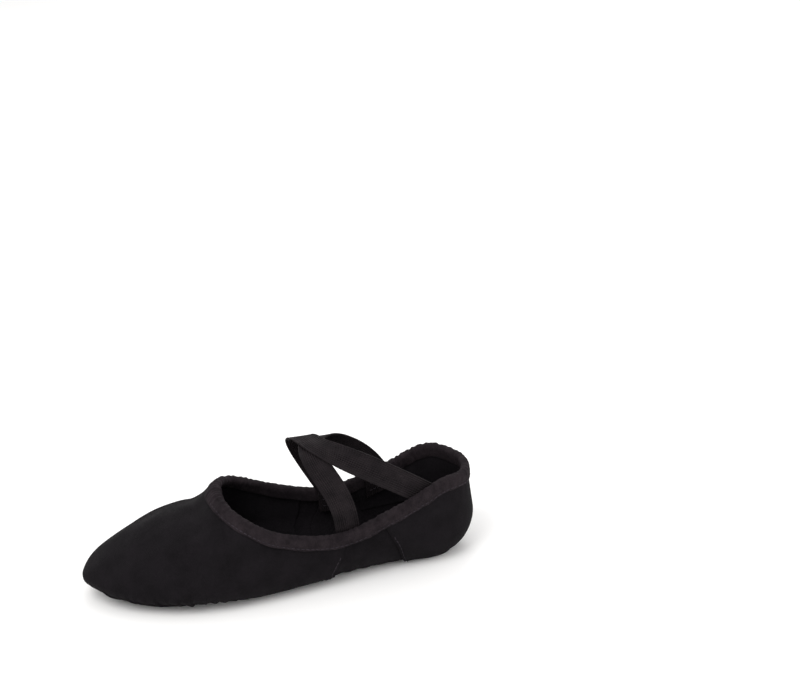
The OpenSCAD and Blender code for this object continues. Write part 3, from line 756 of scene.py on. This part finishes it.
def strap_line(phi, roots):
    """Place along the shoe of a strap's middle line: a straight run between its roots, drawn
    to the crossing by a power of sin phi."""
    return (roots[0] + (roots[1] - roots[0]) * phi / 180
            + (strap_cross_x - (roots[0] + roots[1]) / 2)
            * np.clip(np.sin(np.radians(phi)), 0, 1)**roots[2])


def spring_angle(roots, side):
    """Angle at which that line comes out of the opening, by repeated substitution."""
    phi = 15.0
    for _ in range(20):
        x = strap_line(phi if side > 0 else 180 - phi, roots)
        rise = opening_z(station(x), side) + strap_gap - tunnel_base
        phi = float(np.degrees(np.arcsin((rise / (strap_crest - tunnel_base))
                                         ** (tunnel_power / 2))))
    return phi


def strap_grid(roots, out, across):
    """Strap over the tunnel: across holds places from -0.5 to 0.5 of the width, and out the
    height of each above the strap's middle layer."""
    first = max(0.6, spring_angle(roots, 1) - strap_tuck)
    last = min(179.4, 180 - spring_angle(roots, -1) + strap_tuck)
    f = np.linspace(0, 1, len(out))
    phi = first + (last - first) * f
    x = strap_line(phi, roots)
    lift = roots[3] * ramp(5 * np.minimum(f, 1 - f))
    ahead = np.stack([np.gradient(x), np.gradient(phi)], -1)
    dx = tunnel(x + 0.5, phi, lift) - tunnel(x - 0.5, phi, lift)
    dphi = tunnel(x, phi + 0.5, lift) - tunnel(x, phi - 0.5, lift)
    along = ahead[:, :1] * dx + ahead[:, 1:] * dphi
    along /= np.linalg.norm(along, axis=1, keepdims=True)
    turn = -(dx * along).sum(1) / (dphi * along).sum(1)
    push = np.linalg.norm(dx + turn[:, None] * dphi, axis=1)
    d = across[None, :] * strap_width / push[:, None]
    return tunnel(x[:, None] + d, phi[:, None] + turn[:, None] * d, lift[:, None] + out)


def wall_point(x, side, drop, depth):
    """Point on the wall at depth, drop below the opening."""
    q = station(x)
    return skin(q, angle_at(q, opening_z(q, side) - drop), side, depth)


# The strap's section: eleven ribs, a raised selvedge and rounded sides
rib_across = np.linspace(-0.5, 0.5, 111)
rib_count = 11
rib_height = 0.17 * np.cos(2 * np.pi * rib_across * rib_count)
rib_height += 0.16 * np.exp(-((np.abs(rib_across) - 0.475) / 0.02)**2)
rounded = np.sqrt(np.clip(1 - np.clip((np.abs(rib_across) - 0.475) / 0.025, 0, 1)**2, 0, 1))
strap_top = (strap_thick / 2 + rib_height - 0.1) * rounded
strap_steps = 240
ease = 0.25 * np.sin(np.linspace(0, 1, strap_steps) * 2 * np.pi * 3.0 + 1)[:, None]
curl = np.abs(ease * np.abs(rib_across * 2)**2 * 0.8)   # slack edges that lift a little
for node, roots in strap_lines.items():
    face = strap_grid(roots, strap_top[None, :] + curl, rib_across)
    back = strap_grid(roots, -strap_top[None, :] * 0.9 + curl, rib_across)
    strap = cloth_piece(node + "_elastic", face, back, elastic)
    springs = np.array([spring_angle(roots, 1), 180 - spring_angle(roots, -1)])
    first, last = tunnel(strap_line(springs, roots), springs, 0.0)
    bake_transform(strap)
    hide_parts(node)

# The hidden ends: each strap carries on down the inside of the wall as a flat tab
for k, (roots, side) in enumerate((r, s) for r in strap_lines.values() for s in (1, -1)):
    phi = spring_angle(roots, side)
    x = float(strap_line(phi if side > 0 else 180 - phi, roots))
    drop = np.linspace(13, -0.5, 40)[:, None]
    place = x + side * -rib_across[None, :] * strap_width
    half_thick = strap_thick / 2 + rib_height
    tab = cloth_piece(f"strap_tab_{k}", wall_point(place, side, drop, strap_depth - half_thick),
                      wall_point(place, side, drop, strap_depth + half_thick), elastic)
    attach(tab, "heel")
    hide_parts("strap_tabs")
    for row, fall in enumerate((3.5, 8.5)):
        tack_x = np.linspace(x - 5.5, x + 5.5, 60)
        line = wall_point(tack_x, side, fall, strap_depth + 0.75)
        inwards = wall_point(tack_x, side, fall, strap_depth + 2) - line
        tack = stitches(f"strap_tack_{k}_{row}", line, inwards, "strap_tack_threads", 2.2)
        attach(tack, "heel")


# ---- Sole patches -----------------------------------------------------------------------
# Split suede 1.2 mm thick under the ball and under the heel, nap side out, each sewn down
# with a line of stitches in a channel that runs 3.8 mm inside its edge.

# Brushed split leather: a cloudy nap of short fibres, with paler scuffs where the foot turns.
suede = bpy.data.materials.new("split_sole_suede")
suede.use_nodes = True
shader = suede.node_tree.nodes["Principled BSDF"]
place = add(suede, "TexCoord").outputs["Object"]
clouds = add(suede, "TexNoise", {"Vector": place, "Scale": 1000 / 11.0, "Detail": 6.0,
                                 "Roughness": 0.65}).outputs["Fac"]
grain = add(suede, "TexNoise", {"Vector": place, "Scale": 1000 / 0.8, "Detail": 4.0,
                                "Roughness": 0.75}).outputs["Fac"]
brushed = add(suede, "Mapping", {"Vector": place, "Scale": (0.35, 1.6, 1.0),
                                 "Rotation": (0, 0, 0.5)}).outputs[0]
scuffs = add(suede, "TexNoise", {"Vector": brushed, "Scale": 1000 / 6.0, "Detail": 5.0,
                                 "Roughness": 0.7, "Distortion": 0.6}).outputs["Fac"]
worn = add(suede, "MapRange", {"Value": scuffs, "From Min": 0.56, "From Max": 0.76}).outputs[0]
nap = add(suede, "Math", {0: grain, 1: 0.5, 2: clouds}, operation="MULTIPLY_ADD").outputs[0]
nap = add(suede, "MapRange", {"Value": nap, "From Min": 0.55, "From Max": 1.0}).outputs[0]
plain = add(suede, "Mix", {0: nap, 6: colour("#151215"), 7: colour("#262226")},
            data_type="RGBA").outputs[2]
worn = add(suede, "Math", {0: worn, 1: 0.55}, operation="MULTIPLY").outputs[0]
tinted = add(suede, "Mix", {0: worn, 6: plain, 7: colour("#3d383d")},
             data_type="RGBA").outputs[2]
fibre = add(suede, "Bump", {"Height": grain, "Strength": 0.8, "Distance": 0.00025}).outputs[0]
fibre = add(suede, "Bump", {"Height": clouds, "Strength": 0.5, "Distance": 0.0004,
                            "Normal": fibre}).outputs[0]
suede.node_tree.links.new(tinted, shader.inputs["Base Color"])
suede.node_tree.links.new(fibre, shader.inputs["Normal"])
shader.inputs["Roughness"].default_value = 0.95
shader.inputs["Specular IOR Level"].default_value = 0.2
shader.inputs["Sheen Weight"].default_value = 0.12
shader.inputs["Sheen Roughness"].default_value = 0.5

suede_thick, channel = 1.2, 3.8
heel_patch_x, heel_patch_half = -86.0, (19.5, 17.0)


def patch_line(middle_x, half, inset, turn):
    """Outline of a patch, inset from its edge: a super-ellipse, squarer behind than in front,
    that follows the swing of the toe."""
    c, s = np.cos(turn), np.sin(turn)
    power = np.where(c > 0, 2.1, 2.7)
    x = middle_x + np.sign(c) * (half[0] - inset) * np.abs(c)**(2 / power)
    y = np.sign(s) * (half[1] - inset) * np.abs(s)**(2 / 2.2)
    return np.stack([x + shoe_shift[0],
                     y - toe_swing * ramp(x / half_length) + shoe_shift[1]], -1)


for name, node, thread_node, body, middle_x, half in (
        ("front_suede_patch", "front_sole_patch", "front_patch_thread", "forefoot",
         front_patch_x, front_patch_half),
        ("heel_suede_patch", "heel_sole_patch", "heel_patch_thread", "heel",
         heel_patch_x, heel_patch_half)):
    turn = np.linspace(0, 2 * np.pi, 361)[:-1][:, None]
    inset = min(half) * np.linspace(0, 1, 96)[None, :]**1.5
    flat = patch_line(middle_x, half, inset, turn)
    edge = np.clip(inset / 0.9, 0, 1)
    height = 0.12 + 0.55 * (1 - np.sqrt(1 - (1 - edge)**2))
    height = height + 0.32 * np.exp(-((inset - channel) / 0.7)**2)
    height = height + 0.12 * (1 + np.sin(flat[..., 0] / 7.3 + 1) * np.sin(flat[..., 1] / 6.1)) \
        * ramp((inset - channel - 1) / 4)
    under_face = np.concatenate([flat, height[..., None]], -1)
    upper_face = np.concatenate([flat, np.full_like(height, suede_thick)[..., None]], -1)
    outer = np.concatenate([upper_face[:, ::-1], under_face], 1)
    n_turn, n_in = outer.shape[:2]
    uv = outer[..., :2].reshape(-1, 2)
    patch = face_out(mesh_piece(name, outer.reshape(-1, 3), quads(n_turn, n_in, wrap=True), uv,
                                suede))
    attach(patch, body)
    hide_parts(node)
    around = np.linspace(0, 2 * np.pi, 600)[:-1]
    line = patch_line(middle_x, half, channel, around)
    line = np.concatenate([line, np.full((len(line), 1), 0.42)], 1)
    down = np.tile([0, 0, -1.0], (len(line), 1))
    piece = stitches(name + "_stitches", line, down, thread_node, 3.2, 0.45, closed=True)
    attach(piece, body)


# ---- Pads and socks ---------------------------------------------------------------------
# Thin foam pads under the ball and the heel, each under a sock of brushed cotton that is
# glued over it. The sock is crowned by the foam and pressed down round its edge.

# Latex foam, moulded in sheet and cut: dull and evenly grained. The cotton's nap is raised on
# one side, which greys it.
foam = cloth("dark_pad_foam", "#2b282d", "#454148", 1.4, 1.4, 0.05, 0.95, 0.1)
brushed_cotton = cloth("brushed_sock_cotton", "#262329", "#46424a", 0.9, 0.9, 0.08, 0.92, 0.5,
                       mottle_mm=10)


def floor_line(first, last, depth, count=160):
    """Outline of the shoe's flat floor between two stations, up one side and down the other."""
    q = np.linspace(first, last, count)
    outer, inner = skin(q, -62, 1, depth), skin(q, -62, -1, depth)
    return np.concatenate([outer[:, :2], inner[::-1, :2]])


def pad_piece(name, node, body, outline, low, thick, crown, material):
    """Closed pad inside an outline: rings drawn in towards its middle, whose top rises as a
    quarter circle over the first 1.6 mm and then swells slowly to the crown."""
    centre = outline.mean(0)
    way = centre - outline
    size = np.linalg.norm(way, axis=1, keepdims=True)[:, None]
    share = np.linspace(0, 1, 60)[None, :, None]**1.6
    flat = outline[:, None] + way[:, None] * share
    inset = (share * size)[..., 0]
    rise = np.sqrt(1 - (1 - np.clip(inset / 1.6, 0, 1))**2)
    top = low + thick * (0.35 + 0.65 * rise) + crown * ramp(inset / 14)
    top = top + 0.12 * np.sin(flat[..., 0] / 5.9) * np.sin(flat[..., 1] / 5.1 + 1)
    base = np.full_like(top, low)
    outer = np.concatenate([np.concatenate([flat, base[..., None]], -1)[:, ::-1],
                            np.concatenate([flat, top[..., None]], -1)], 1)
    rows, columns = outer.shape[:2]
    pad = face_out(mesh_piece(name, outer.reshape(-1, 3), quads(rows, columns, wrap=True),
                              outer[..., :2].reshape(-1, 2), material))
    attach(pad, body)
    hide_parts(node)


ball_floor, heel_floor, foam_thick, sock_thick = 2.9, 3.2, 2.5, 0.6
sock_gap = 0.05
pad_front_q, pad_heel_q = float(station(29)), float(station(-68))
pad_piece("forefoot_foam_pad", "forefoot_pad", "forefoot",
          floor_line(pad_front_q, 3, 3.0), ball_floor, foam_thick - sock_thick, 0.5, foam)
pad_piece("front_cotton_sock", "front_sock", "forefoot",
          floor_line(pad_front_q, 3, 3.3), ball_floor + foam_thick + sock_gap, sock_thick, 0.3,
          brushed_cotton)
pad_piece("heel_foam_pad", "heel_pad", "heel",
          floor_line(0, pad_heel_q, 3.4), heel_floor, foam_thick - sock_thick, 0.5, foam)
pad_piece("heel_cotton_sock", "heel_sock", "heel",
          floor_line(0, pad_heel_q, 3.7), heel_floor + foam_thick + sock_gap, sock_thick, 0.3,
          brushed_cotton)


# ---- Drawn elastic ----------------------------------------------------------------------
# The round covered cord inside the binding, 1.4 mm thick and hidden all the way. Drawing it
# up gathers the opening to the foot, and it bends with the binding over the arch.

# Rubber core in a braided cover, drawn at 0.6 mm a yarn: a fine dark plait with a dull shine.
cord_rubber = cloth("covered_cord_elastic", "#121013", "#262227", 0.6, 0.6, 0.03, 0.7, 0.1)
cord_radius, cord_out, cord_down = 0.7, -1.2, -0.9
around_cord = np.linspace(0, 2 * np.pi, 9)[None, :]
cord_tube = beside_edge(cord_out + cord_radius * np.cos(around_cord) * all_round,
                        cord_down + cord_radius * np.sin(around_cord) * all_round)[::2]
cord_uv = np.stack(np.broadcast_arrays(edge_run[::2, None], cord_radius * around_cord), -1)
cord_piece = face_out(mesh_piece("drawn_elastic_cord", cord_tube.reshape(-1, 3),
                                 quads(*cord_tube.shape[:2], wrap=True),
                                 cord_uv.reshape(-1, 2), cord_rubber))
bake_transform(cord_piece)
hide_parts("binding_elastic")


# ---- Floor, light and camera ------------------------------------------------------------
# A pale floor that runs to the horizon, under a white sky and three soft square lamps that
# all face the slipper: one above the toe, one from behind the heel and one from the inner side.

reach = 6.0   # metres from the slipper to the floor's edge
floor_mesh = bpy.data.meshes.new("floor")
floor_mesh.from_pydata([(-reach, -reach, 0), (reach, -reach, 0), (reach, reach, 0),
                        (-reach, reach, 0)], [], [(0, 1, 2, 3)])
floor = bpy.data.objects.new("floor", floor_mesh)
bpy.context.scene.collection.objects.link(floor)
paper = bpy.data.materials.new("white_studio_paper")
paper.use_nodes = True
paper.node_tree.nodes["Principled BSDF"].inputs["Base Color"].default_value = colour("#f4f3f2")
paper.node_tree.nodes["Principled BSDF"].inputs["Roughness"].default_value = 0.9
floor_mesh.materials.append(paper)

world = bpy.data.worlds.new("studio")
bpy.context.scene.world = world
world.use_nodes = True
world.node_tree.nodes["Background"].inputs["Color"].default_value = (1, 1, 1, 1)
world.node_tree.nodes["Background"].inputs["Strength"].default_value = 0.9
for name, spot, size, power in (("key", (0.6, 0.6, 1.3), 1.0, 12.0),
                                ("fill", (-0.9, 1.1, 0.8), 1.2, 6.0),
                                ("rim", (-0.3, -1.2, 0.9), 0.9, 7.0)):
    lamp = bpy.data.lights.new(name, "AREA")
    lamp.size, lamp.energy = size, power
    light = bpy.data.objects.new(name, lamp)
    light.location = spot
    light.rotation_mode = "QUATERNION"
    light.rotation_quaternion = (-Vector(spot)).to_track_quat("-Z", "Y")
    bpy.context.scene.collection.objects.link(light)
bpy.context.scene.view_settings.view_transform = "Standard"

# The camera stands nearly 1.2 m off on the outer side and looks down by 24 degrees through an
# 85 mm lens. It is rolled a little, and shifted so that the slipper sits low on the left.
azimuth, elevation, roll = np.radians((8.49, 23.77, -5.621))
back = np.array([np.sin(azimuth) * np.cos(elevation), np.cos(azimuth) * np.cos(elevation),
                 np.sin(elevation)])
right = np.cross(-back, [0, 0, 1])
right /= np.linalg.norm(right)
up = np.cross(right, -back)
right, up = (np.cos(roll) * right + np.sin(roll) * up, -np.sin(roll) * right + np.cos(roll) * up)
stand = (71.509 * right + 132.737 * up + 1161.167 * back) / 1000
lens = bpy.data.cameras.new("camera")
lens.lens, lens.sensor_width = 85.0, 36.0
camera = bpy.data.objects.new("camera", lens)
camera.matrix_world = Matrix([[*row, place] for row, place in
                              zip(np.stack([right, up, back], 1).tolist(), stand.tolist())]
                             + [[0, 0, 0, 1]])
bpy.context.scene.collection.objects.link(camera)
bpy.context.scene.camera = camera
